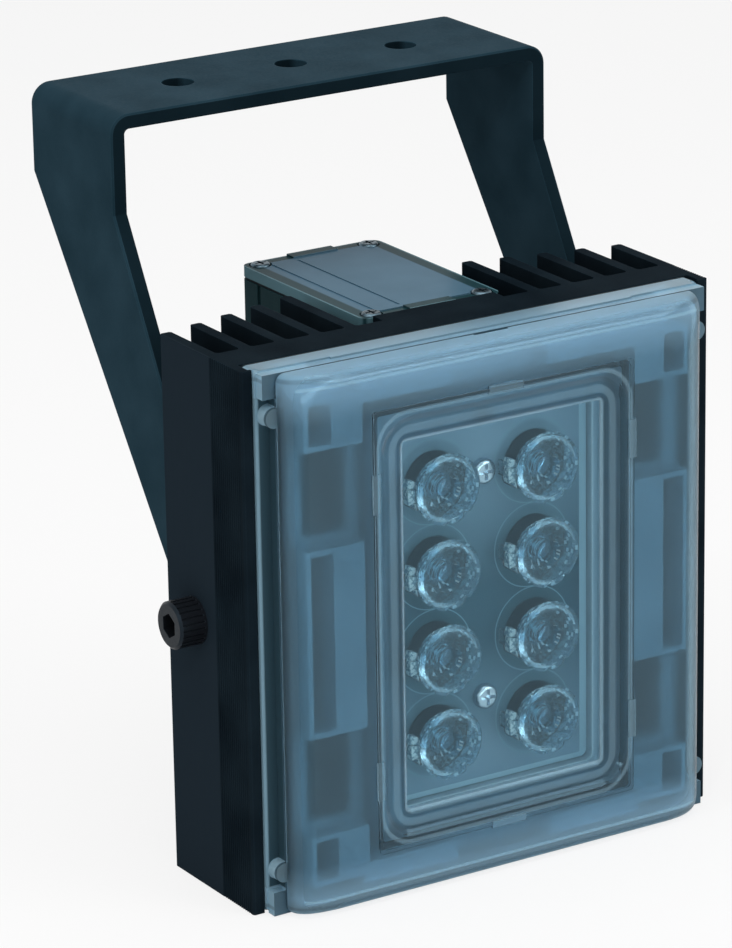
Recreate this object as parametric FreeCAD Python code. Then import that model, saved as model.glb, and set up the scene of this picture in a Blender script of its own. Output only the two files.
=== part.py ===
import FreeCAD, Part
import math
import os

# White light illuminator: finned heat sink, frosted front cover, driver housing behind
# and a folded bracket that turns on two side screws.
# Axes: X across the lamp, Y from front to rear, Z up. Z = 0 is the lower end of the heat sink,
# Y = 0 is the rear face of its base, where the fins start, and X = 0 is the middle.

# Heat sink
body_height = 150.0
body_width = 146.0
wall_thickness = 3.3
wall_depth = 41.0
front_recess = 6.0
base_thickness = 11.5
edge_bevel = 0.5
fin_thickness = 3.3
fin_count_each_side = 4
fin_step = 2.5
fin_root_bevel = 0.8
arm_slot = 7.2
housing_side_gap = 5.35
pad_half_width = 19.0
pad_height = 5.0
seat_height = 3.0
seat_corner_radius = 2.0
lip_depth = 0.8
cover_groove_depth = 0.7
ridge_start = 1.6
ridge_pitch = 1.0
ridge_width = 0.5
ridge_count = 14
ridge_depth = 0.35
wire_hole_diameter = 5.0
wire_hole_above_middle = 50.0
board_screw_hole_depth = 8.0

# Front cover
cover_clearance = 0.2
cover_end_clearance = 0.2
cover_top_step = 0.7
flange_height = 0.8
flange_corner_radius = 2.0
cap_gap = 4.3
cap_set_forward = 4.4
skin = 2.4
cap_corner_radius = 2.5
cap_front_corner_radius = 14.0
cap_side_rounding = 6.3
cap_end_rounding = 1.5
cap_section_count = 7
parting_groove_width = 0.5
parting_groove_depth = 0.7
seal_thickness = 1.0
seal_clearance = 0.5
corner_block_gap = 0.7
corner_block_width = 10.6
corner_block_height = 6.6
top_pad_half_width = 47.0
top_pad_depth = 0.8
top_pad_height = 1.3
notch_half_width = 5.4
notch_depth = 0.9
notch_height = 0.8
lug_radius = 2.7
lug_outset = 0.6
lug_end_gap = 12.3
lug_front_lap = 0.4
tube_clearance = 0.3

# Window in the cover
window_half_width = 31.0
window_end_margin = 23.8
window_corner_radius = 1.5
window_drop = 1.8
window_thickness = 2.0
window_optic_gap = 0.3
frame_border = 7.6
frame_end_border = 7.2
frame_corner_radius = 9.5
ledge_drop = 0.9
ledge_slope = 1.6
well_slope = 1.4
tube_border = 9.2
tube_end_border = 9.7
tube_corner_radius = 1.0
tube_wall = 1.8
rib_width = 1.0
rib_height = 0.35
mark_length = 10.8
mark_width = 2.2
mark_height = 0.6
mark_offsets = (-40.5, 39.2)

# Lamp board, emitters and optics
board_thickness = 1.6
board_border = 2.4
thermal_sheet_thickness = 0.4
thermal_sheet_border = 1.0
optic_half_spacing = 15.7
optic_row_pitch = 23.8
optic_rows = 4
optic_rows_drop = 1.0
optic_radius = 9.75
optic_height = 7.4
optic_rim_thickness = 0.9
optic_rim_step = 0.65
optic_foot_radius = 4.2
optic_bore_radius = 3.0
optic_bore_depth = 2.8
optic_pocket_radius = 3.6
optic_pocket_depth = 2.4
optic_notch_radius = 1.3
emitter_size = 5.0
emitter_base_height = 0.8
emitter_dome_radius = 1.7
holder_thickness = 1.0
holder_radius = 8.6
holder_bore_radius = 3.7
holder_leg_width = 1.6
holder_leg_thickness = 1.1
holder_clearance = 0.1
tab_reach = 2.4
tab_rise = 4.2
tab_width = 4.0
tab_hole_radius = 0.9
board_screw_offsets = (-28.8, 34.8)
board_screw_size = 4.0
board_screw_clearance = 0.25
board_screw_head_radius = 3.5
board_screw_head_height = 2.3

# Tray around the board
tray_set_forward = 1.0
tray_side_clearance = 1.9
tray_end_clearance = 2.5
tray_wall = 1.8
tray_corner_radius = 5.0
tray_board_gap = 0.5
block_clearance = 0.8
block_wall = 1.4
block_tube_gap = 2.4
block_side_gap = 1.3
lower_block_end_gap = 2.9
lower_block_length = 14.0
middle_block_offset = 0.4
middle_block_length = 51.6
upper_block_end_gap = 2.6
upper_block_length = 13.6
pocket_rim = 1.2
pocket_width = 6.6
recess_web = 1.4
recess_inner_gap = 0.9
recess_width = 13.0
end_bar_half_gap = 14.8
end_bar_tube_gap = 2.9
end_bar_end_gap = 0.4

# Driver housing behind the heat sink
housing_half_width = 21.9
housing_depth = 63.4
housing_wall = 2.2
housing_radius = 3.0
housing_bore_radius = 1.2
housing_groove_width = 1.8
housing_groove_depth = 0.8
housing_groove_places = (9.5, 21.5, 53.5)
card_thickness = 1.6
card_to_gland = 5.0
card_clearance = 0.2
card_side_clearance = 0.4
card_end_gap = 18.0
card_rib_width = 1.4
card_rib_height = 1.6
transformer_size = (18.0, 14.0, 22.0)
transformer_place = (-3.0, -2.0)
filter_size = (10.0, 9.0, 24.0)
filter_place = (-11.0, 37.0)
capacitor_radii = (5.0, 4.0, 6.3)
capacitor_lengths = (20.0, 14.0, 22.0)
capacitor_places = ((-9.0, -31.0), (6.0, -31.0), (10.0, 23.0))
end_seal_thickness = 0.8
end_seal_inset = 0.3
end_cap_thickness = 3.5
end_cap_raise = 0.6
cap_screw_side_inset = 4.5
cap_screw_end_inset = 3.4
cap_screw_size = 2.6
cap_screw_clearance = 0.4
cap_screw_length = 9.0
cap_screw_head_radius = 2.75
cap_screw_head_height = 1.5
cap_screw_sink = 0.9
screw_post_radius = 3.6
skirt_depth = 1.6
skirt_thickness = 1.6
skirt_clearance = 0.3
cap_band_half_width = 7.1
cap_band_length = 3.8
cap_band_inset = 0.2
cap_panel_half_width = 15.0
cap_panel_height = 0.25
cap_line_width = 0.8
cap_line_end_gap = 2.0

# Cable gland
gland_height = 30.0
gland_thread = 16.0
gland_clearance = 0.1
gland_flats = 19.0
gland_hex_height = 5.0
gland_neck_length = 7.0
gland_nut_gap = 0.6
gland_dome_height = 7.0
gland_cone_height = 4.5
gland_bore_radius = 5.2
gland_locknut_flats = 22.0
gland_locknut_height = 3.5
gland_thread_end = 2.0
gland_ring_wall = 1.3
cable_diameter = 6.5

# Bracket and pivots
pivot_size = 8.0
pivot_clearance = 0.4
washer_thickness = 1.0
washer_radius = 8.0
washer_clearance = 0.1
sheet = 4.0
bend_radius = 5.5
arm_end_radius = 8.4
arm_end_clearance = 0.7
arm_tail_reach = 15.5
arm_tail_radius = 7.0
plate_set_back = 44.6
plate_depth = 44.0
plate_above_body = 51.0
knee_front_drop = 27.0
knee_rear_drop = 24.2
bracket_hole = 9.0
bracket_hole_pitch = 35.5
bracket_edge_break = 0.5
head_height = 8.0
head_diameter = 13.0
head_chamfer = 0.7
knurl_count = 24
knurl_width = 0.56
knurl_depth = 0.3
knurl_foot = 0.6
socket_flats = 6.0
socket_depth = 4.0
screw_tip = 0.6

# Places that follow from the sizes
half_width = body_width / 2
inner_half_width = half_width - wall_thickness
floor_y = -base_thickness
wall_front_y = floor_y - front_recess
wall_rear_y = wall_front_y + wall_depth
seat_front_y = floor_y - seat_height
fin_outer_x = inner_half_width - arm_slot - fin_thickness / 2
fin_inner_x = housing_half_width + housing_side_gap + fin_thickness / 2
fin_pitch = (fin_outer_x - fin_inner_x) / (fin_count_each_side - 1)
middle_z = body_height / 2
wire_z = middle_z + wire_hole_above_middle
cover_rear_y = floor_y - seal_thickness
cap_rear_y = wall_front_y - cap_set_forward
flange_front_y = wall_front_y - flange_height
neck_rear_y = wall_front_y + lip_depth + cover_clearance
cap_half_width = inner_half_width - cap_gap
cap_top_z = body_height - cover_top_step
groove_rear_y = cap_rear_y + parting_groove_width
window_half_height = middle_z - window_end_margin
tube_half_width = window_half_width + tube_border
tube_half_height = window_half_height + tube_end_border
board_half_width = window_half_width + board_border
board_half_height = window_half_height + board_border
board_rear_y = seat_front_y - thermal_sheet_thickness
board_front_y = board_rear_y - board_thickness
optic_foot_y = board_front_y - holder_thickness
optic_rim_y = optic_foot_y - optic_height
window_rear_y = optic_rim_y - window_optic_gap
cover_front_y = window_rear_y - window_thickness - window_drop
tray_front_y = wall_front_y - tray_set_forward
tray_half_width = cap_half_width - skin - tray_side_clearance
tray_bottom_z = cover_end_clearance + skin + tray_end_clearance
tray_top_z = cap_top_z - skin - tray_end_clearance
tray_open_half_width = board_half_width + tray_board_gap
tray_open_half_height = board_half_height + tray_board_gap
block_front_y = cover_front_y + skin + block_clearance
block_inner_x = tube_half_width + block_tube_gap
block_outer_x = tray_half_width - block_side_gap
housing_front_y = pad_height
housing_rear_y = housing_front_y + housing_depth
housing_bottom_z = end_cap_thickness + end_seal_thickness
housing_top_z = body_height - housing_bottom_z
gland_inner_y = housing_rear_y - housing_wall - gland_locknut_height - gland_thread_end
card_front_y = gland_inner_y - card_to_gland - card_thickness
gland_nut_y = housing_rear_y + gland_hex_height + gland_nut_gap
pivot_y = arm_end_clearance + arm_end_radius
bracket_half_width = inner_half_width - washer_thickness
plate_front_y = pivot_y + plate_set_back
plate_rear_y = plate_front_y + plate_depth
plate_top_z = body_height + plate_above_body


def vec(x, y, z):
    return FreeCAD.Vector(x, y, z)


right = vec(1, 0, 0)
rearward = vec(0, 1, 0)
upward = vec(0, 0, 1)


def box(x0, x1, y0, y1, z0, z1):
    return Part.makeBox(x1 - x0, y1 - y0, z1 - z0, vec(x0, y0, z0))


def cylinder(radius, base, direction, length):
    return Part.makeCylinder(radius, length, base, direction)


def prism(points, direction):
    wire = Part.makePolygon(points + [points[0]])
    return Part.Face(wire).extrude(direction)


def rounded_wire(points, radii):
    # Closed flat wire through the corner points, each rounded by a tangent arc of its own radius.
    edges = []
    starts = []
    ends = []
    for i, corner in enumerate(points):
        back = (points[i - 1] - corner).normalize()
        ahead = (points[(i + 1) % len(points)] - corner).normalize()
        half_angle = back.getAngle(ahead) / 2
        set_back = radii[i] / math.tan(half_angle)
        start = corner + back * set_back
        end = corner + ahead * set_back
        if radii[i] > 0:
            inward = (back + ahead).normalize()
            middle = corner + inward * (radii[i] / math.sin(half_angle) - radii[i])
            edges.append(Part.Arc(start, middle, end).toShape())
        starts.append(start)
        ends.append(end)
    for i, start in enumerate(starts):
        if start.distanceToPoint(ends[i - 1]) > 0.001:
            edges.append(Part.makeLine(ends[i - 1], start))
    return Part.Wire(Part.sortEdges(edges)[0])


def standing_wire(half, z0, z1, radius, y):
    # Rounded rectangle in a plane of constant Y.
    corners = [vec(-half, y, z0), vec(half, y, z0), vec(half, y, z1), vec(-half, y, z1)]
    return rounded_wire(corners, [radius] * 4)


def standing_slab(half, z0, z1, radius, y0, y1):
    return Part.Face(standing_wire(half, z0, z1, radius, y0)).extrude(vec(0, y1 - y0, 0))


def centred_slab(half, half_high, radius, y0, y1):
    return standing_slab(half, middle_z - half_high, middle_z + half_high, radius, y0, y1)


def centred_taper(half, half_high, radius, y0, y1, slope):
    # Hollow that narrows by the slope on every side on its way to the rear.
    front = standing_wire(half, middle_z - half_high, middle_z + half_high, radius, y0)
    rear = standing_wire(half - slope, middle_z - half_high + slope, middle_z + half_high - slope,
                         radius - slope, y1)
    return Part.makeLoft([front, rear], True, True)


def hexagon_prism(flats, base, along_x, along_y, direction):
    corner = flats / math.sqrt(3)
    points = []
    for index in range(6):
        angle = math.radians(60 * index + 30)
        points.append(base + along_x * (corner * math.cos(angle)) + along_y * (corner * math.sin(angle)))
    return prism(points, direction)


def mirrored_pair(x0, x1):
    return [(-x1, -x0), (x0, x1)]


def optic_places():
    first_z = middle_z - optic_rows_drop - optic_row_pitch * (optic_rows - 1) / 2
    places = []
    for row in range(optic_rows):
        for side in (-1, 1):
            places.append((side * optic_half_spacing, first_z + row * optic_row_pitch))
    return places


def board_screw_places():
    return [middle_z + offset for offset in board_screw_offsets]


def fin_points(outer, inner, tip):
    # One fin with bevelled root and tip, walked from its outer to its inner side.
    root = fin_root_bevel
    bevel = edge_bevel
    points = [vec(outer - root, 0, 0), vec(outer, root, 0), vec(outer, tip - bevel, 0)]
    points += [vec(outer + bevel, tip, 0), vec(inner - bevel, tip, 0), vec(inner, tip - bevel, 0)]
    points += [vec(inner, root, 0), vec(inner + root, 0, 0)]
    return points


def sink_half_profile():
    bevel = edge_bevel
    points = [vec(-inner_half_width, wall_front_y, 0), vec(-half_width + bevel, wall_front_y, 0)]
    points.append(vec(-half_width, wall_front_y + bevel, 0))
    # Fine ridges on the front zone of the side wall.
    slope = (ridge_pitch - ridge_width) / 3
    for i in range(ridge_count):
        y = wall_front_y + ridge_start + i * ridge_pitch
        points.append(vec(-half_width, y, 0))
        points.append(vec(-half_width + ridge_depth, y + slope, 0))
        points.append(vec(-half_width + ridge_depth, y + slope + ridge_width / 2, 0))
        points.append(vec(-half_width, y + 2 * slope + ridge_width / 2, 0))
    points += [vec(-half_width, wall_rear_y - bevel, 0), vec(-half_width + bevel, wall_rear_y, 0)]
    points += [vec(-inner_half_width - bevel, wall_rear_y, 0), vec(-inner_half_width, wall_rear_y - bevel, 0)]
    points += [vec(-inner_half_width, fin_root_bevel, 0), vec(-inner_half_width + fin_root_bevel, 0, 0)]
    # The fins grow longer towards the middle of the lamp.
    for i in range(fin_count_each_side):
        centre = fin_outer_x - i * fin_pitch
        tip = wall_rear_y + fin_step * (i + 1)
        points += fin_points(-centre - fin_thickness / 2, -centre + fin_thickness / 2, tip)
    points += [vec(-pad_half_width, 0, 0), vec(-pad_half_width, pad_height, 0)]
    return points


def heat_sink():
    left_side = sink_half_profile()
    right_side = [vec(-p.x, p.y, 0) for p in reversed(left_side)]
    groove = inner_half_width + cover_groove_depth
    lip_y = wall_front_y + lip_depth
    recess = [vec(inner_half_width, lip_y, 0), vec(groove, lip_y, 0), vec(groove, floor_y, 0)]
    recess += [vec(-groove, floor_y, 0), vec(-groove, lip_y, 0), vec(-inner_half_width, lip_y, 0)]
    body = prism(left_side + right_side + recess, upward * body_height)
    # Raised seat for the lamp board.
    seat = centred_slab(board_half_width, board_half_height, seat_corner_radius, seat_front_y, 0)
    body = body.fuse(seat)
    holes = []
    for side in (-1, 1):
        start = vec(side * (inner_half_width - 1), pivot_y, middle_z)
        holes.append(cylinder((pivot_size + pivot_clearance) / 2, start, right * side, wall_thickness + 2))
    for z in board_screw_places():
        start = vec(0, seat_front_y - 1, z)
        holes.append(cylinder(board_screw_size / 2, start, rearward, board_screw_hole_depth + 1))
    start = vec(0, seat_front_y - 1, wire_z)
    holes.append(cylinder(wire_hole_diameter / 2, start, rearward, pad_height - seat_front_y + 2))
    return body.cut(holes).removeSplitter()


def cover_seal():
    margin = cover_end_clearance + seal_clearance
    half = inner_half_width + cover_groove_depth - cover_clearance
    outer = standing_slab(half, cover_end_clearance, body_height - cover_end_clearance,
                          flange_corner_radius, cover_rear_y, floor_y)
    inner = standing_slab(cap_half_width - skin + seal_clearance, margin + skin, body_height - margin - skin,
                          cap_corner_radius, cover_rear_y - 1, floor_y + 1)
    return outer.cut(inner)


def cap_form(inset):
    # Cushion form of the cap: sections from the parting line to the face follow a quarter turn, so the
    # sides round off widely, the two ends a little, and the corner radius grows towards the face.
    side_rounding = cap_side_rounding - inset
    front_radius = cap_front_corner_radius - inset
    depth = cap_rear_y - cover_front_y - inset
    sections = []
    for index in range(cap_section_count):
        turn = math.pi / 2 * index / (cap_section_count - 1)
        fall = 1 - math.cos(turn)
        side = inset + side_rounding * fall
        end = inset + cap_end_rounding * fall
        radius = cap_corner_radius + (front_radius - cap_corner_radius) * fall
        sections.append(standing_wire(cap_half_width - side, cover_end_clearance + end, cap_top_z - end,
                                      radius, cap_rear_y - depth * math.sin(turn)))
    return Part.makeLoft(sections, True, False)


def cover_shell():
    # Flange and neck held by the side walls, then a skirt with corner blocks, and beyond a fine
    # parting groove the cap.
    low = cover_end_clearance
    high = body_height - cover_end_clearance
    flange_half = inner_half_width + cover_groove_depth - cover_clearance
    neck_half = inner_half_width - cover_clearance
    top = cap_top_z
    groove = parting_groove_depth
    shape = standing_slab(flange_half, low, high, flange_corner_radius, neck_rear_y, cover_rear_y)
    extras = [standing_slab(neck_half, low, high, flange_corner_radius, flange_front_y, neck_rear_y)]
    extras.append(standing_slab(cap_half_width, low, top, cap_corner_radius, groove_rear_y, flange_front_y))
    extras.append(standing_slab(cap_half_width - groove, low + groove, top - groove,
                                cap_corner_radius - groove, cap_rear_y, groove_rear_y))
    block_x = inner_half_width - corner_block_gap
    for x0, x1 in mirrored_pair(block_x - corner_block_width, block_x):
        for z0, z1 in ((low, low + corner_block_height), (top - corner_block_height, top)):
            extras.append(box(x0, x1, groove_rear_y, flange_front_y, z0, z1))
    # Long low pad along the top edge of the flange.
    extras.append(box(-top_pad_half_width, top_pad_half_width, flange_front_y - top_pad_depth, flange_front_y,
                      high - top_pad_height, high))
    # Round lugs that bridge the parting groove at the sides.
    lug_y = cap_rear_y - lug_front_lap
    for side in (-1, 1):
        for z in (lug_end_gap, body_height - lug_end_gap):
            start = vec(side * (cap_half_width + lug_outset), lug_y, z)
            extras.append(cylinder(lug_radius, start, rearward, flange_front_y - lug_y))
    shape = shape.fuse(extras).fuse(cap_form(0))
    passage = standing_slab(cap_half_width - skin, low + skin, top - skin, cap_corner_radius,
                            cap_rear_y, cover_rear_y + 1)
    return shape.cut(cap_form(skin)).cut(passage)


def face_marks():
    # Short raised marks on the square rib: two on each side, one at each end.
    half_length = mark_length / 2
    half_wide = mark_width / 2
    y0 = cover_front_y - mark_height
    y1 = cover_front_y + skin / 2
    marks = []
    for side in (-1, 1):
        x = side * tube_half_width
        for offset in mark_offsets:
            z = middle_z + offset
            marks.append(box(x - half_wide, x + half_wide, y0, y1, z - half_length, z + half_length))
        z = middle_z + side * tube_half_height
        marks.append(box(-half_length, half_length, y0, y1, z - half_wide, z + half_wide))
    return marks


def front_cover():
    # Square-cornered tube that stands behind the window and reaches the tray.
    inside_end = tray_front_y - tube_clearance
    tube = centred_slab(tube_half_width, tube_half_height, tube_corner_radius, window_rear_y, inside_end)
    tube = tube.cut(centred_slab(tube_half_width - tube_wall, tube_half_height - tube_wall,
                                 tube_corner_radius, cover_front_y, inside_end + 1))
    pane = centred_slab(tube_half_width, tube_half_height, tube_corner_radius, cover_front_y + ledge_drop,
                        window_rear_y)
    shape = cover_shell().fuse([tube, pane])
    # Stepped window: a rounded ledge, then the clear pane.
    ledge = centred_taper(window_half_width + frame_border, window_half_height + frame_end_border,
                          frame_corner_radius, cover_front_y, cover_front_y + ledge_drop, ledge_slope)
    well = centred_taper(window_half_width + well_slope, window_half_height + well_slope,
                         window_corner_radius + well_slope, cover_front_y + ledge_drop,
                         cover_front_y + window_drop, well_slope)
    shape = shape.cut([ledge, well])
    # Fine square rib around the window on the outer face.
    rib = centred_slab(tube_half_width + rib_width / 2, tube_half_height + rib_width / 2, tube_corner_radius,
                       cover_front_y - rib_height, cover_front_y + ledge_drop)
    rib = rib.cut(centred_slab(tube_half_width - rib_width / 2, tube_half_height - rib_width / 2,
                               tube_corner_radius, cover_front_y - 1, cover_front_y + skin))
    # Moulding notch in the middle of the top edge.
    notch = box(-notch_half_width, notch_half_width, cap_rear_y - notch_depth, cap_rear_y,
                cap_top_z - notch_height, body_height)
    return shape.fuse([rib] + face_marks()).cut(notch).removeSplitter()


def screw_clearance_holes(y):
    radius = board_screw_size / 2 + board_screw_clearance
    return [cylinder(radius, vec(0, y - 1, z), rearward, board_thickness + 2) for z in board_screw_places()]


def lamp_board():
    board = centred_slab(board_half_width, board_half_height, seat_corner_radius, board_front_y, board_rear_y)
    wires = cylinder(wire_hole_diameter / 2, vec(0, board_front_y - 1, wire_z), rearward, board_thickness + 2)
    return board.cut(screw_clearance_holes(board_front_y) + [wires])


def thermal_sheet():
    border = thermal_sheet_border
    pad = centred_slab(board_half_width - border, board_half_height - border, seat_corner_radius,
                       board_rear_y, seat_front_y)
    wires = cylinder(wire_hole_diameter / 2, vec(0, board_rear_y - 1, wire_z), rearward, board_thickness + 2)
    return pad.cut(screw_clearance_holes(board_rear_y) + [wires])


def emitter(x, z):
    half = emitter_size / 2
    top = board_front_y - emitter_base_height
    base = box(x - half, x + half, top, board_front_y, z - half, z + half)
    dome = Part.makeSphere(emitter_dome_radius, vec(x, top, z))
    behind = box(x - half, x + half, board_front_y, board_front_y + half, z - half, z + half)
    return base.fuse(dome).cut(behind)


def optic(x, z):
    # Solid of revolution: a pocket in the front, a rim, a curved flank and a bore over the emitter.
    rim = optic_rim_y
    step_y = rim + optic_rim_thickness + optic_rim_step / 2
    flank_radius = optic_radius - optic_rim_step
    middle_radius = (flank_radius + optic_foot_radius) / 2 + optic_rim_step
    flank_middle = vec(x + middle_radius, (step_y + optic_foot_y) / 2, z)
    flank_top = vec(x + flank_radius, step_y, z)
    foot = vec(x + optic_foot_radius, optic_foot_y, z)
    pocket_y = rim + optic_pocket_depth
    front = [vec(x, pocket_y, z), vec(x + optic_pocket_radius * 0.85, pocket_y, z)]
    front += [vec(x + optic_pocket_radius, rim, z), vec(x + optic_radius, rim, z)]
    front += [vec(x + optic_radius, rim + optic_rim_thickness, z), flank_top]
    bore_end = optic_foot_y - optic_bore_depth
    rear = [foot, vec(x + optic_bore_radius, optic_foot_y, z), vec(x + optic_bore_radius * 0.9, bore_end, z)]
    rear += [vec(x, bore_end, z), front[0]]
    edges = Part.makePolygon(front).Edges + [Part.Arc(flank_top, flank_middle, foot).toShape()]
    edges += Part.makePolygon(rear).Edges
    body = Part.Face(Part.Wire(edges)).revolve(vec(x, 0, z), rearward, 360)
    # Three shallow notches in the lower part of the rim.
    cuts = []
    reach = optic_radius + optic_notch_radius / 4
    for degrees in (235, 270, 305):
        a = math.radians(degrees)
        centre = vec(x + reach * math.cos(a), rim - 1, z + reach * math.sin(a))
        cuts.append(cylinder(optic_notch_radius, centre, rearward, optic_rim_thickness + 1.5))
    return body.cut(cuts)


def optic_holder(x, z):
    # Clear ring on the board with two legs under the optic's rim and a side tab.
    y0 = board_front_y - holder_thickness
    inner = optic_radius - optic_rim_step + holder_clearance
    outer = inner + holder_leg_thickness
    half = holder_leg_width / 2
    leg_top = optic_rim_y + optic_rim_thickness + optic_rim_step
    shape = cylinder(holder_radius, vec(0, y0, 0), rearward, holder_thickness)
    for degrees in (60, 300):
        foot = box(holder_radius / 2, outer, y0, board_front_y, -half, half)
        leg = foot.fuse(box(inner, outer, leg_top, board_front_y, -half, half))
        leg.rotate(vec(0, 0, 0), rearward, -degrees)
        shape = shape.fuse(leg)
    tab_outer = inner + tab_reach
    tab = box(-tab_outer, -inner, board_front_y - tab_rise, board_front_y, -tab_width / 2, tab_width / 2)
    tab = tab.fuse(box(-tab_outer, -holder_radius / 2, y0, board_front_y, -tab_width / 2, tab_width / 2))
    tab = tab.cut(cylinder(tab_hole_radius, vec(-inner - tab_reach / 2, optic_rim_y, 0), rearward,
                           optic_foot_y - optic_rim_y))
    shape = shape.fuse(tab)
    shape = shape.cut(cylinder(holder_bore_radius, vec(0, y0 - 1, 0), rearward, holder_thickness + 2))
    shape.translate(vec(x, 0, z))
    return shape.removeSplitter()


def pan_screw(base, direction, size, head_radius, head_thickness, shank):
    # Pan head with a cross recess; base is the middle of the head's underside.
    crown = head_thickness * 0.55
    recess_half = head_radius * 0.62
    recess_width = head_radius * 0.14
    head = cylinder(head_radius, base, direction, head_thickness)
    top = base + direction * head_thickness
    rim = [e for e in head.Edges if e.CenterOfMass.distanceToPoint(top) < 0.001]
    head = head.makeFillet(crown, rim)
    shape = head.fuse(cylinder(size / 2, base - direction * shank, direction, shank))
    side = vec(direction.y, direction.z, direction.x)
    up = direction.cross(side)
    start = top - direction * crown
    for along, across in ((side, up), (up, side)):
        a = along * recess_half
        b = across * recess_width
        slot = prism([start + a + b, start - a + b, start - a - b, start + a - b], direction * (crown + 1))
        shape = shape.cut(slot)
    return shape


def board_screw(z):
    return pan_screw(vec(0, board_front_y, z), rearward * -1, board_screw_size, board_screw_head_radius,
                     board_screw_head_height, board_screw_hole_depth)


def tray_blocks():
    # Lower and upper edge of the three raised blocks at each side.
    low = tray_bottom_z + lower_block_end_gap
    high = tray_top_z - upper_block_end_gap
    centre = middle_z + middle_block_offset
    return [(low, low + lower_block_length),
            (centre - middle_block_length / 2, centre + middle_block_length / 2),
            (high - upper_block_length, high)]


def tray():
    wall = tray_wall
    shape = standing_slab(tray_half_width, tray_bottom_z, tray_top_z, tray_corner_radius,
                          tray_front_y, floor_y)
    hollow = standing_slab(tray_half_width - wall, tray_bottom_z + wall, tray_top_z - wall,
                           tray_corner_radius - wall, tray_front_y + wall, floor_y + 1)
    collar = centred_slab(tray_open_half_width + wall, tray_open_half_height + wall, tray_corner_radius / 2,
                          tray_front_y, floor_y)
    shape = shape.cut(hollow).fuse(collar)
    # Raised blocks at the sides, each with an open pocket at its outer side and hollow behind the rest.
    blocks = []
    cuts = []
    spans = tray_blocks()
    pocket_outer = block_outer_x - pocket_rim
    pocket_inner = pocket_outer - pocket_width
    for z0, z1 in spans:
        end0 = z0 + block_wall
        end1 = z1 - block_wall
        for x0, x1 in mirrored_pair(block_inner_x, block_outer_x):
            blocks.append(box(x0, x1, block_front_y, tray_front_y, z0, z1))
        for x0, x1 in mirrored_pair(pocket_inner, pocket_outer):
            cuts.append(box(x0, x1, block_front_y - 1, floor_y, end0, end1))
        for x0, x1 in mirrored_pair(block_inner_x + block_wall, pocket_inner - block_wall):
            cuts.append(box(x0, x1, block_front_y + block_wall, floor_y, end0, end1))
    # Open recesses between the blocks, through which the black heat sink shows.
    recess_inner = block_inner_x + recess_inner_gap
    for below, above in zip(spans, spans[1:]):
        for x0, x1 in mirrored_pair(recess_inner, recess_inner + recess_width):
            cuts.append(box(x0, x1, tray_front_y - 1, floor_y, below[1] + recess_web, above[0] - recess_web))
    # Raised bars along both ends, left out in the middle.
    tube_gap = tube_half_height + end_bar_tube_gap
    for x0, x1 in mirrored_pair(end_bar_half_gap, block_inner_x + block_wall):
        blocks.append(box(x0, x1, block_front_y, tray_front_y, tray_bottom_z + end_bar_end_gap,
                          middle_z - tube_gap))
        blocks.append(box(x0, x1, block_front_y, tray_front_y, middle_z + tube_gap,
                          tray_top_z - end_bar_end_gap))
    cuts.append(centred_slab(tray_open_half_width, tray_open_half_height, seat_corner_radius,
                             tray_front_y - 1, floor_y + 1))
    return shape.fuse(blocks).cut(cuts).removeSplitter()


def housing_column(inset, radius, z0, z1):
    # Rounded upright column with the housing's outline, drawn in by the inset.
    x = housing_half_width - inset
    y0 = housing_front_y + inset
    y1 = housing_rear_y - inset
    corners = [vec(-x, y0, z0), vec(x, y0, z0), vec(x, y1, z0), vec(-x, y1, z0)]
    return Part.Face(rounded_wire(corners, [radius] * 4)).extrude(upward * (z1 - z0))


def cap_screw_places():
    x = housing_half_width - cap_screw_side_inset
    rows = (housing_front_y + cap_screw_end_inset, housing_rear_y - cap_screw_end_inset)
    return [(side * x, y) for side in (-1, 1) for y in rows]


def driver_housing():
    z0 = housing_bottom_z
    z1 = housing_top_z
    shape = housing_column(0, housing_radius, z0, z1)
    shape = shape.cut(housing_column(housing_wall, housing_bore_radius, z0 - 1, z1 + 1))
    corners = housing_column(housing_wall / 4, housing_radius, z0, z1)
    for x, y in cap_screw_places():
        shape = shape.fuse(cylinder(screw_post_radius, vec(x, y, z0), upward, z1 - z0).common(corners))
    groove = housing_groove_width / 2
    for x0, x1 in mirrored_pair(housing_half_width - housing_groove_depth, housing_half_width + 1):
        for place in housing_groove_places:
            y = housing_front_y + place
            shape = shape.cut(box(x0, x1, y - groove, y + groove, z0 - 1, z1 + 1))
    # Card slots inside for the driver board.
    inner = housing_half_width - housing_wall
    front_rib = card_front_y - card_clearance - card_rib_width
    rear_rib = card_front_y + card_thickness + card_clearance
    for x0, x1 in mirrored_pair(inner - card_rib_height, inner):
        for y in (front_rib, rear_rib):
            shape = shape.fuse(box(x0, x1, y, y + card_rib_width, z0, z1))
    cuts = []
    for x, y in cap_screw_places():
        cuts.append(cylinder(cap_screw_size / 2, vec(x, y, z0 - 1), upward, z1 - z0 + 2))
    wall_span = housing_wall + 2
    cuts.append(cylinder(wire_hole_diameter / 2, vec(0, housing_front_y - 1, wire_z), rearward, wall_span))
    gland_hole = gland_thread / 2 + gland_clearance
    start = vec(0, housing_rear_y - housing_wall - 1, gland_height)
    cuts.append(cylinder(gland_hole, start, rearward, wall_span))
    return shape.cut(cuts).removeSplitter()


def cap_screw_holes(radius, z0, z1):
    return [cylinder(radius, vec(x, y, z0), upward, z1 - z0) for x, y in cap_screw_places()]


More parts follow.
